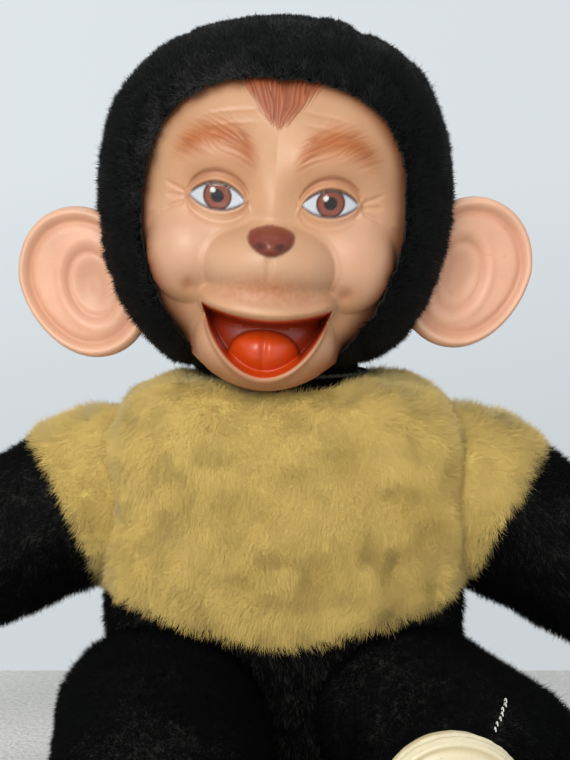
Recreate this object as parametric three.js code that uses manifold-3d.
// A seated, stuffed toy monkey: plush skins over stuffing, with a moulded vinyl face mask, ears,
// hands and shoes. Millimetres, +Z up, the toy faces -Y. The origin is on the flat of the seat.
import * as THREE from "three";
import { mergeVertices } from "three/addons/utils/BufferGeometryUtils.js";
import Module from "manifold-3d";

const wasm = await Module();
wasm.setup();

// ---- Driving dimensions ----
const PLUSH = 3; // woven backing and packed pile together
const VINYL = 2.4; // wall of the moulded parts
const GAP = 0.4; // between pieces that touch
const THREAD = 0.8; // radius of the sewing and tying cord
const FILLING_SLACK = 3.5; // between the head's filling and the mask

const BODY_HALF_WIDTH = 75;
const BODY_DEPTH_RATIO = 0.69;
const BODY_TOP = 167.5;
const BODY_BOXINESS = 2.8; // exponent of a rounded-box section: 2 is an ellipse
const WAIST_MIDDLE = 64; // the shirt's hem dips at the belly
const WAIST_SIDE = 82;
const SIDE_SEAM_Y = -14;

const HEAD_AT = [-4, 0, 243];
const HEAD_HALF = [70.5, 65, 74.5];
const HEAD_BOXINESS = 2.4;
const GUSSET_HALF = 34; // half the width of the strip over the crown
const NECK_RADIUS = 31;
const NECK_TOP = 186;
const FACE_ROLL = 4; // degrees, the mask sits a little crooked in its hood
const MASK_BACK = -14; // the mask's rim lies this far in front of the head's middle
const MASK_TUCK = 7; // the rim runs on under the hood

const EAR_HALF = [27, 6.5, 30];
const EAR_OUT = 79;
const EAR_Y = -4;
const EAR_DROP = { right: -33, left: -29 }; // from the head's middle
const EAR_TURN = 12;
const EAR_DISH = { radius: [19, 14, 23], out: 1, forward: 13.5 };
const EAR_TAB = { half: [13, 3, 14], in: 24, back: 1 }; // runs in through the hood

const MOUTH_AT = [0, -66, -58]; // from the head's middle, before the mask is rolled
const MOUTH_HALF = [19, 17, 13];
const TONGUE_AT = [0, -58, -68];
const TONGUE_HALF = [11, 13, 5];

const SHOULDER = [76, 6, 120];
const SHOULDER_BALL = 34.4;
const ARMHOLE = 43;
const SLEEVE_END = 24;
const WRIST_AT = 118;
const ARM_POSES = { right: { down: 24, forward: 14 }, left: { down: 31, forward: 8 } };

const HIP = [50, -32, 37];
const HIP_BALL = 33.6;
const THIGH_BREADTH = 1.2; // a thigh is this much broader than it is deep
const THIGH_END = 78; // from here the leg narrows to a round ankle
const ANKLE_AT = 124;
const LEG_POSES = {
  right: { out: -4, down: 4, bow: 0, toeOut: 65 },
  left: { out: 4, down: 4, bow: 19, toeOut: -20 },
};
const HIP_SWING = { up: 15, down: 60, step: 25, reach: 90, clearance: 3 }; // degrees and millimetres

const HAND = {
  palmAt: 22, palmHalf: [17, 9.5, 19],
  fingerAt: 40, fingersAcross: [-12, -4.2, 3.6, 11], fingerHalf: [4.6, 5.6, 13], curl: 5,
  thumbAt: [18, -2, 20], thumbHalf: [6, 5.5, 12],
};
const SHOE_LENGTH = 82;
const SHOE_WIDTH = 48;
const HEEL_REACH = 27; // from the ankle's axis back to the heel
const HEEL_NARROWING = 0.74;
const SOLE = { from: 27, to: 34 }; // beyond the ankle
const TOE_CAP = { at: [0, 22, 24], half: [20, 22, 16] };
const QUARTER = { at: [0, -4, 20], half: [17, 20, 19] };

const MEND = { from: 60, pitch: 6, turns: 5, off: 4, lift: 1.4, radius: 0.45 };

const FINE = 16; // segments round a large form, and round a small one
const COARSE = 12;
const SMALL = 7;
const FAR = 150; // beyond every piece, for cutting

// ---- Solids ----
const rad = THREE.MathUtils.degToRad;

// A closed three.js geometry as a manifold-3d solid.
function solid(geometry) {
  const bare = geometry.index ? geometry.toNonIndexed() : geometry.clone();
  bare.deleteAttribute("normal");
  bare.deleteAttribute("uv");
  const merged = mergeVertices(bare, 1e-3);
  const corners = merged.index.array;
  const kept = [];
  for (let i = 0; i < corners.length; i += 3) {
    const [a, b, c] = [corners[i], corners[i + 1], corners[i + 2]];
    if (a !== b && b !== c && c !== a) kept.push(a, b, c);
  }
  const vertProperties = merged.attributes.position.array;
  const made = new wasm.Manifold(
    new wasm.Mesh({ numProp: 3, vertProperties, triVerts: new Uint32Array(kept) }),
  );
  if (made.volume() > 0) return made;
  const flipped = kept.map((_, i) => kept[i - 2 * (i % 3) + 2]);
  return new wasm.Manifold(
    new wasm.Mesh({ numProp: 3, vertProperties, triVerts: new Uint32Array(flipped) }),
  );
}

function geometryOf(made) {
  const { numProp, numVert, vertProperties, triVerts } = made.getMesh();
  const points = new Float32Array(numVert * 3);
  for (let i = 0; i < numVert; i++) {
    points.set(vertProperties.subarray(i * numProp, i * numProp + 3), i * 3);
  }
  const geometry = new THREE.BufferGeometry();
  geometry.setAttribute("position", new THREE.BufferAttribute(points, 3));
  geometry.setIndex(new THREE.BufferAttribute(new Uint32Array(triVerts), 1));
  geometry.computeVertexNormals();
  return geometry;
}

const joined = (parts) => parts.reduce((all, part) => all.add(part));

// A sphere pushed out towards a box; boxiness 2 leaves it an ellipsoid.
function ball(centre, half, boxiness = 2, segments = COARSE) {
  const geometry = new THREE.SphereGeometry(1, segments, Math.round(segments * 0.7));
  const points = geometry.attributes.position;
  const p = new THREE.Vector3();
  for (let i = 0; i < points.count; i++) {
    p.fromBufferAttribute(points, i);
    const sum = [p.x, p.y, p.z].reduce((all, v) => all + Math.abs(v) ** boxiness, 0);
    p.multiplyScalar(sum ** (-1 / boxiness));
    points.setXYZ(i, p.x * half[0], p.y * half[1], p.z * half[2]);
  }
  geometry.translate(...centre);
  return solid(geometry);
}

// A box given by its lowest and highest corners.
function block(low, high) {
  const size = high.map((v, i) => v - low[i]);
  const geometry = new THREE.BoxGeometry(...size);
  geometry.translate(...low.map((v, i) => v + size[i] / 2));
  return solid(geometry);
}

// Turned about +Z from [radius, height] pairs; closed says that the profile is a ring's section.
function turned(profile, closed = false, segments = COARSE + 4) {
  const points = profile.map(([r, z]) => new THREE.Vector2(r, z));
  if (closed) points.push(points[0].clone());
  const geometry = new THREE.LatheGeometry(points, segments);
  geometry.rotateX(Math.PI / 2);
  return geometry;
}

const turnedSolid = (profile, closed, segments) => solid(turned(profile, closed, segments));

// A skin of the given wall inside an outer profile, open at both ends.
function sleeveProfile(outer, wall) {
  const inner = outer.map(([r, z]) => [r - wall, z]).reverse();
  return [...outer, ...inner];
}

// The stretch of a profile between two heights, with its ends worked out on the line.
function stretch(profile, from, to) {
  const radiusAt = (z) => {
    const i = profile.findIndex(([, height]) => height >= z);
    const [[r0, z0], [r1, z1]] = [profile[Math.max(i - 1, 0)], profile[Math.max(i, 1)]];
    return r0 + ((r1 - r0) * (z - z0)) / (z1 - z0);
  };
  const middle = profile.filter(([, z]) => z > from && z < to);
  return [[radiusAt(from), from], ...middle, [radiusAt(to), to]];
}

function tube(points, radius, steps, sides = 8) {
  const section = new THREE.Shape().absarc(0, 0, radius, 0, Math.PI * 2);
  const path = new THREE.CatmullRomCurve3(points.map((p) => new THREE.Vector3(...p)));
  const options = { steps, extrudePath: path, bevelEnabled: false, curveSegments: sides };
  return solid(new THREE.ExtrudeGeometry(section, options));
}

// ---- Materials ----
const finish = (color, roughness, metalness = 0) =>
  new THREE.MeshStandardMaterial({ color, roughness, metalness });
const MATERIALS = {
  blackPlush: finish("#15140f", 0.95),
  yellowPlush: finish("#c9b25c", 0.92),
  vinyl: finish("#e0b08a", 0.45),
  paleVinyl: finish("#eadfba", 0.4),
  stuffing: finish("#d9d0bd", 1),
  thread: finish("#e9e6da", 0.8),
};

function piece(name, made, material) {
  const mesh = new THREE.Mesh(geometryOf(made), MATERIALS[material]);
  mesh.name = name;
  return mesh;
}

// ---- Body ----
const BODY_PROFILE = [
  [0, 0], [54, 0], [65, 6], [71, 24], [74, 60], [BODY_HALF_WIDTH, 100],
  [BODY_HALF_WIDTH, 140], [73, 150], [61, 162], [37, BODY_TOP], [0, BODY_TOP],
];

// The body's form with its surface moved in by a depth, a little more at front and back.
function bodyForm(inset, segments = FINE + 6) {
  const profile = BODY_PROFILE.map(([r, z]) => [
    r === 0 ? 0 : r - inset,
    THREE.MathUtils.clamp(z, inset, BODY_TOP - inset),
  ]);
  const geometry = turned(profile, false, segments);
  const points = geometry.attributes.position;
  for (let i = 0; i < points.count; i++) {
    const [x, y] = [points.getX(i), points.getY(i)];
    const r = Math.hypot(x, y);
    if (r < 1e-6) continue;
    const sum = Math.abs(x / r) ** BODY_BOXINESS + Math.abs(y / r) ** BODY_BOXINESS;
    const grow = sum ** (-1 / BODY_BOXINESS);
    points.setX(i, x * grow);
    points.setY(i, y * grow * (BODY_DEPTH_RATIO - (inset * (1 - BODY_DEPTH_RATIO)) / BODY_HALF_WIDTH));
  }
  return solid(geometry);
}

// Everything below the shirt's hem, which hangs in a curve at front and back.
function belowHem(lift) {
  const rise = WAIST_SIDE - WAIST_MIDDLE;
  const end = WAIST_MIDDLE + rise * (FAR / BODY_HALF_WIDTH) + lift;
  const control = 2 * (WAIST_MIDDLE + lift) - end;
  const outline = new THREE.Shape();
  outline.moveTo(-FAR, -FAR);
  outline.lineTo(FAR, -FAR);
  outline.lineTo(FAR, end);
  outline.quadraticCurveTo(0, control, -FAR, end);
  const options = { depth: 2 * FAR, bevelEnabled: false, curveSegments: 12 };
  const geometry = new THREE.ExtrudeGeometry(outline, options);
  geometry.rotateX(Math.PI / 2);
  geometry.translate(0, FAR, 0);
  return solid(geometry);
}

const sideSign = { right: -1, left: 1 }; // the toy's own right hand is at -X
const across = (side, [x, y, z]) => [sideSign[side] * x, y, z];

// A limb's own frame: +Z runs out along the limb, +Y is up from it, and X lies across.
function limbFrame(at, forward, turn) {
  const frame = new THREE.Group();
  frame.position.set(...at);
  const z = forward.clone().normalize();
  const x = new THREE.Vector3(0, 0, 1).cross(z).normalize();
  const y = z.clone().cross(x);
  frame.quaternion.setFromRotationMatrix(new THREE.Matrix4().makeBasis(x, y, z));
  frame.rotateZ(turn);
  frame.updateMatrix();
  return frame;
}

function armFrame(side) {
  const { down, forward } = ARM_POSES[side];
  const reach = Math.cos(rad(down));
  const way = new THREE.Vector3(
    sideSign[side] * reach * Math.cos(rad(forward)),
    -reach * Math.sin(rad(forward)),
    -Math.sin(rad(down)),
  );
  return limbFrame(across(side, SHOULDER), way, 0);
}

function legFrame(side) {
  const { out, down } = LEG_POSES[side];
  const reach = Math.cos(rad(down));
  const way = new THREE.Vector3(
    sideSign[side] * reach * Math.sin(rad(out)),
    -reach * Math.cos(rad(out)),
    -Math.sin(rad(down)),
  );
  return limbFrame(across(side, HIP), way, 0);
}

// A leg's form turned from its profile, broadened at the thigh and bowed outwards on its way down.
function legGeometry(side, profile, closed = false, segments = COARSE + 4) {
  const geometry = turned(profile, closed, segments);
  const points = geometry.attributes.position;
  for (let i = 0; i < points.count; i++) {
    const z = points.getZ(i);
    points.setX(i, points.getX(i) * breadthAt(z) + bowAt(side, z));
  }
  return geometry;
}

function breadthAt(z) {
  return THREE.MathUtils.lerp(THIGH_BREADTH, 1, THREE.MathUtils.smoothstep(z, THIGH_END, ANKLE_AT - 10));
}

function bowAt(side, z) {
  const along = THREE.MathUtils.clamp(z / ANKLE_AT, 0, 1);
  return sideSign[side] * LEG_POSES[side].bow * Math.sin(Math.PI * along) ** 2;
}

// The room in the seat that a leg swings through: a ball at the hip and the thigh at steps of its swing.
function hipRoom(side) {
  const { up, down, step, reach, clearance } = HIP_SWING;
  const thigh = stretch(LEG_PROFILE, 0, reach).map(([r, z]) => [r + clearance, z]);
  const deep = HIP_BALL + clearance;
  const parts = [ball(across(side, HIP), [HIP_BALL * THIGH_BREADTH + clearance, deep, deep])];
  for (let angle = -up; angle <= down; angle += step) {
    const geometry = legGeometry(side, [[0, 0], ...thigh, [0, reach]], false, COARSE);
    const swing = new THREE.Matrix4().makeRotationX(rad(angle));
    const place = new THREE.Matrix4().makeTranslation(...across(side, HIP)).multiply(swing);
    const aim = new THREE.Matrix4().extractRotation(legFrame(side).matrix);
    parts.push(solid(geometry.applyMatrix4(place.multiply(aim))));
  }
  return joined(parts);
}

function buildBody() {
  const armhole = (side) => ball(across(side, SHOULDER), [ARMHOLE, ARMHOLE, ARMHOLE]);
  const room = joined([armhole("right"), armhole("left"), hipRoom("right"), hipRoom("left")]);
  const neckRoom = NECK_RADIUS + 4 * GAP;
  const neckHole = turnedSolid(
    [[0, BODY_TOP - 2 * PLUSH], [neckRoom, BODY_TOP - 2 * PLUSH], [neckRoom, NECK_TOP], [0, NECK_TOP]],
  );
  const skin = bodyForm(0).subtract(bodyForm(PLUSH)).subtract(room).subtract(neckHole);
  const shirt = skin.subtract(belowHem(GAP / 2));
  const trousers = skin.intersect(belowHem(-GAP / 2));
  const front = block([-FAR, -FAR, -FAR], [FAR, SIDE_SEAM_Y - GAP / 2, 2 * FAR]);
  const back = block([-FAR, SIDE_SEAM_Y + GAP / 2, -FAR], [FAR, FAR, 2 * FAR]);
  const filling = bodyForm(PLUSH + 2.5 * GAP, COARSE + 4).subtract(room);
  const neck = turnedSolid([
    [0, BODY_TOP - PLUSH + GAP], [NECK_RADIUS, BODY_TOP - PLUSH + GAP],
    [NECK_RADIUS - 2, BODY_TOP + 6], [NECK_RADIUS, NECK_TOP - 2],
    [NECK_RADIUS - 8, NECK_TOP], [0, NECK_TOP],
  ]);
  const body = new THREE.Group();
  body.add(
    piece("shirt_front", shirt.intersect(front), "yellowPlush"),
    piece("shirt_back", shirt.intersect(back), "yellowPlush"),
    piece("trousers", trousers, "blackPlush"),
    piece("body_stuffing", filling, "stuffing"),
    piece("neck_stuffing", neck, "stuffing"),
  );
  return body;
}

// ---- Head ----
// The opening that the face shows through: broad above, drawn in to the chin.
function faceOutline(grow) {
  const [half, middle, top, bottom] = [51 + grow, -9, 43 + grow, -78 - grow];
  const side = (t, way) => {
    const power = t > 0 ? 2.7 : 1.75;
    const reach = t > 0 ? top - middle : middle - bottom;
    return [way * half * (1 - Math.abs(t) ** power) ** (1 / power), middle + t * reach];
  };
  const steps = 11;
  const heightAt = (_, i) => Math.sin(((i - steps) / steps) * (Math.PI / 2));
  const run = Array.from({ length: 2 * steps + 1 }, heightAt);
  const right = run.map((t) => side(t, 1));
  const left = run.slice(1, -1).reverse().map((t) => side(t, -1));
  return new THREE.Shape([...right, ...left].map(([x, z]) => new THREE.Vector2(x, z)));
}

function facePrism(grow) {
  const geometry = new THREE.ExtrudeGeometry(faceOutline(grow), { depth: 100, bevelEnabled: false });
  geometry.rotateX(Math.PI / 2);
  geometry.translate(0, MASK_BACK + 4, 0);
  return solid(geometry.rotateY(rad(FACE_ROLL)));
}

// The masses of the face, each an ellipsoid: [centre, half sizes].
const FACE_MASSES = [
  [[0, 0, 0], [64.3, 58.8, 68.3]],
  [[0, -47, -30], [27, 29, 22]],
  [[0, -40, -50], [27, 27, 26]],
  [[-28, -38, -24], [22, 21, 25]],
  [[28, -38, -24], [22, 21, 25]],
  [[0, -44, 12], [41, 19, 17]],
];

// The face's form, grown or shrunk by a distance, rolled as the mask sits.
function faceForm(grow) {
  const masses = FACE_MASSES.map(([centre, half], i) => {
    const sized = half.map((v) => v + grow);
    return i ? ball(centre, sized, 2, SMALL + 2) : ball(centre, sized, HEAD_BOXINESS, FINE);
  });
  return rolled(joined(masses));
}

const rolled = (made) => solid(geometryOf(made).rotateY(rad(FACE_ROLL)));

// The hollow of the open mouth, grown by a distance.
const mouthPocket = (grow) => rolled(ball(MOUTH_AT, MOUTH_HALF.map((v) => v + grow)));

function buildMask() {
  const front = block([-FAR, -FAR, -FAR], [FAR, MASK_BACK, FAR]);
  const hollow = faceForm(-VINYL).subtract(mouthPocket(VINYL));
  const shell = faceForm(0).subtract(hollow).subtract(mouthPocket(0));
  const tongue = rolled(ball(TONGUE_AT, TONGUE_HALF)).intersect(mouthPocket(1));
  return joined([shell, tongue])
    .intersect(front)
    .intersect(facePrism(MASK_TUCK))
    .subtract(hollow);
}

// An ear in the head's frame: a dished oval with a rolled rim and a tab that runs in through the hood.
function earSolid(side, grow) {
  const grown = (half) => half.map((v) => v + grow);
  const oval = ball([0, 0, 0], grown(EAR_HALF), HEAD_BOXINESS, COARSE + 1);
  const dish = ball([EAR_DISH.out, -EAR_DISH.forward, 0], EAR_DISH.radius);
  const tab = ball([-EAR_TAB.in, EAR_TAB.back, 0], grown(EAR_TAB.half));
  const made = (grow > 0 ? oval : oval.subtract(dish)).add(tab);
  const geometry = geometryOf(made).rotateZ(rad(EAR_TURN));
  const place = new THREE.Matrix4().makeScale(sideSign[side], 1, 1);
  const at = across(side, [EAR_OUT, EAR_Y, EAR_DROP[side]]);
  place.premultiply(new THREE.Matrix4().makeTranslation(...at));
  return solid(geometry.applyMatrix4(place));
}

function buildHead() {
  const form = (inset) => ball([0, 0, 0], HEAD_HALF.map((v) => v - inset), HEAD_BOXINESS, FINE);
  const outer = form(0);
  const neckAt = -HEAD_AT[0];
  const [boreFrom, boreTo, boreRadius] = [-90, -50, NECK_RADIUS + 5];
  const neckBore = turned([[0, boreFrom], [boreRadius, boreFrom], [boreRadius, boreTo], [0, boreTo]]);
  const neckHole = solid(neckBore.translate(neckAt, 0, 0));
  const ears = { right: earSolid("right", 0), left: earSolid("left", 0) };
  const hood = joined([facePrism(0), neckHole, earSolid("right", GAP), earSolid("left", GAP)]);
  const skin = outer.subtract(form(PLUSH)).subtract(hood);
  const throat = block([-FAR, -FAR, -FAR], [FAR, 0, 0]);
  const crown = block([-GUSSET_HALF, -FAR, -FAR], [GUSSET_HALF, FAR, FAR]).subtract(throat);
  const cheek = (way) => {
    const [near, far] = [way * (GUSSET_HALF + GAP), way * FAR].sort((a, b) => a - b);
    return block([near, -FAR, -FAR], [far, FAR, FAR]);
  };
  const hoodZone = outer.subtract(form(PLUSH + GAP)).subtract(facePrism(-GAP));
  const mask = buildMask().subtract(neckHole).subtract(hoodZone);
  const behindMask = FACE_MASSES[0][1].map((v) => v - VINYL - FILLING_SLACK);
  const filling = ball([0, 0, 0], behindMask, HEAD_BOXINESS, COARSE)
    .subtract(mouthPocket(VINYL + 2 * GAP))
    .subtract(neckHole)
    .subtract(earSolid("right", 2 * GAP))
    .subtract(earSolid("left", 2 * GAP));
  const head = new THREE.Group();
  head.position.set(...HEAD_AT);
  const ring = ringProfile(NECK_RADIUS + 3, THREAD, BODY_TOP + 4 - HEAD_AT[2]);
  const ladder = turned(ring, true, FINE);
  head.add(
    piece("hood_crown", skin.intersect(crown), "blackPlush"),
    piece("hood_right", skin.intersect(cheek(-1)), "blackPlush"),
    piece("hood_left", skin.intersect(cheek(1)), "blackPlush"),
    piece("face_mask", mask, "vinyl"),
    piece("ear_right", ears.right, "vinyl"),
    piece("ear_left", ears.left, "vinyl"),
    piece("head_stuffing", filling, "stuffing"),
    piece("neck_thread", solid(ladder.translate(neckAt, 0, 0)), "thread"),
  );
  return head;
}

function ringProfile(radius, thick, height, steps = 5) {
  return Array.from({ length: steps }, (_, i) => {
    const a = (i / steps) * Math.PI * 2;
    return [radius + thick * Math.cos(a), height + thick * Math.sin(a)];
  });
}

// ---- Arms ----
const ARM_PROFILE = [
  [21, -28], [30.5, -17], [SHOULDER_BALL, 0], [33.6, 18], [32.4, 40],
  [31, 66], [28, 92], [21, 108], [13.8, 113], [13.8, WRIST_AT],
];

// A mitten of a hand: palm, four curled fingers and a thumb, on a plug that the cloth is tied to.
function handSolid() {
  const root = WRIST_AT - 9.5;
  const plug = turnedSolid([
    [0, root], [9.5, root], [9.8, WRIST_AT + 1], [12.5, WRIST_AT + 3],
    [11, WRIST_AT + 10], [0, WRIST_AT + 10],
  ]);
  const palm = ball([0, 0, WRIST_AT + HAND.palmAt], HAND.palmHalf);
  const fingers = HAND.fingersAcross.map((x, i) => {
    const fromMiddle = Math.abs(i - 1.5);
    const at = [x, fromMiddle - HAND.curl, WRIST_AT + HAND.fingerAt - 2 * fromMiddle];
    return ball(at, HAND.fingerHalf, 2, SMALL);
  });
  const [thumbX, thumbY, thumbZ] = HAND.thumbAt;
  const thumb = ball([thumbX, thumbY, WRIST_AT + thumbZ], HAND.thumbHalf, 2, SMALL);
  return joined([plug, palm, ...fingers, thumb]);
}

function buildArm(side) {
  const arm = armFrame(side);
  const cover = stretch(ARM_PROFILE, SLEEVE_END + GAP, WRIST_AT);
  const sleeve = stretch(ARM_PROFILE, ARM_PROFILE[0][1], SLEEVE_END);
  const inside = ARM_PROFILE.filter(([, z]) => z < 100).map(([r, z]) => [r - PLUSH - GAP, z]);
  const filling = [[0, -27], [inside[0][0], -27], ...inside.slice(1), [16, 103], [0, 106]];
  const mirror = sideSign[side];
  const hand = solid(geometryOf(handSolid()).scale(mirror, 1, 1));
  arm.add(
    piece(`sleeve_${side}`, turnedSolid(sleeveProfile(sleeve, PLUSH), true), "yellowPlush"),
    piece(`arm_cover_${side}`, turnedSolid(sleeveProfile(cover, PLUSH), true), "blackPlush"),
    piece(`arm_stuffing_${side}`, turnedSolid(filling), "stuffing"),
    piece(`hand_${side}`, hand, "vinyl"),
    piece(`wrist_tie_${side}`, turnedSolid(ringProfile(15, THREAD, WRIST_AT - 2.5), true), "thread"),
  );
  return arm;
}

// ---- Legs ----
const LEG_PROFILE = [
  [22, -26], [30, -15], [HIP_BALL, 0], [HIP_BALL, 22], [33, 50],
  [31, THIGH_END], [27.5, 100], [20, 113], [14.8, 118], [14.8, ANKLE_AT],
];

// A shoe's outline seen from under the sole, moved in by a distance, toe at +Y.
function soleOutline(inset) {
  const half = SHOE_WIDTH / 2 - inset;
  const toe = SHOE_LENGTH - HEEL_REACH - inset;
  const heel = inset - HEEL_REACH;
  const heelHalf = half * HEEL_NARROWING;
  const outline = new THREE.Shape();
  outline.moveTo(-heelHalf, heel + heelHalf);
  outline.bezierCurveTo(-heelHalf, heel - 1, heelHalf, heel - 1, heelHalf, heel + heelHalf);
  outline.bezierCurveTo(heelHalf, 8, half, 6, half, toe - half * 0.9);
  outline.bezierCurveTo(half, toe, half * 0.5, toe, 0, toe);
  outline.bezierCurveTo(-half * 0.5, toe, -half, toe, -half, toe - half * 0.9);
  outline.bezierCurveTo(-half, 6, -heelHalf, 8, -heelHalf, heel + heelHalf);
  return outline;
}

// A shoe in the frame of its leg, on a plug that the cloth is tied to.
function shoeSolid() {
  const options = { depth: SOLE.to - SOLE.from, bevelEnabled: false, curveSegments: 6 };
  const sole = new THREE.ExtrudeGeometry(soleOutline(0), options);
  sole.translate(0, 0, ANKLE_AT + SOLE.from);
  const lump = ({ at: [x, y, z], half }) => ball([x, y, ANKLE_AT + z], half, HEAD_BOXINESS);
  const root = ANKLE_AT - 5.5;
  const plug = turnedSolid([
    [0, root], [10.8, root], [11, ANKLE_AT + 2], [16, ANKLE_AT + 5],
    [17, ANKLE_AT + 20], [0, ANKLE_AT + 20],
  ]);
  const aboveGround = block([-FAR, -FAR, 0], [FAR, FAR, ANKLE_AT + SOLE.to]);
  return joined([solid(sole), lump(TOE_CAP), lump(QUARTER), plug]).intersect(aboveGround);
}

// A short run of white running stitch along the top of the thigh, where it has been mended.
function mendThread() {
  const { from, pitch, turns, off, lift } = MEND;
  const points = Array.from({ length: 4 * turns + 1 }, (_, i) => {
    const along = from + (i * pitch) / 4;
    const weave = 0.5 * Math.cos((i * Math.PI) / 2);
    const stray = 0.6 * Math.sin(2.1 * i);
    return [bowAt("left", along) + off + stray, legRadius(along) + lift + weave, along];
  });
  return tube(points, MEND.radius, 6 * turns, 3);
}

function legRadius(z) {
  return stretch(LEG_PROFILE, z, z + 1)[0][0];
}

function buildLeg(side) {
  const leg = legFrame(side);
  const inside = LEG_PROFILE.filter(([, z]) => z < 110).map(([r, z]) => [r - PLUSH - GAP, z]);
  const filling = [[0, -25], [inside[0][0], -25], ...inside.slice(1), [15, 114], [0, 117]];
  const foot = new THREE.Group();
  foot.rotation.z = -rad(LEG_POSES[side].toeOut * sideSign[side]);
  foot.add(piece(`shoe_${side}`, shoeSolid(), "paleVinyl"));
  const cover = legGeometry(side, sleeveProfile(LEG_PROFILE, PLUSH), true);
  leg.add(
    piece(`leg_cover_${side}`, solid(cover), "blackPlush"),
    piece(`leg_stuffing_${side}`, solid(legGeometry(side, filling)), "stuffing"),
    piece(`ankle_tie_${side}`, turnedSolid(ringProfile(16, THREAD, ANKLE_AT - 2.5), true), "thread"),
    foot,
  );
  if (side === "left") leg.add(piece("mend_thread", mendThread(), "thread"));
  return leg;
}

const monkey = new THREE.Group();
monkey.add(buildBody(), buildHead());
for (const side of ["right", "left"]) monkey.add(buildArm(side), buildLeg(side));

export default monkey;
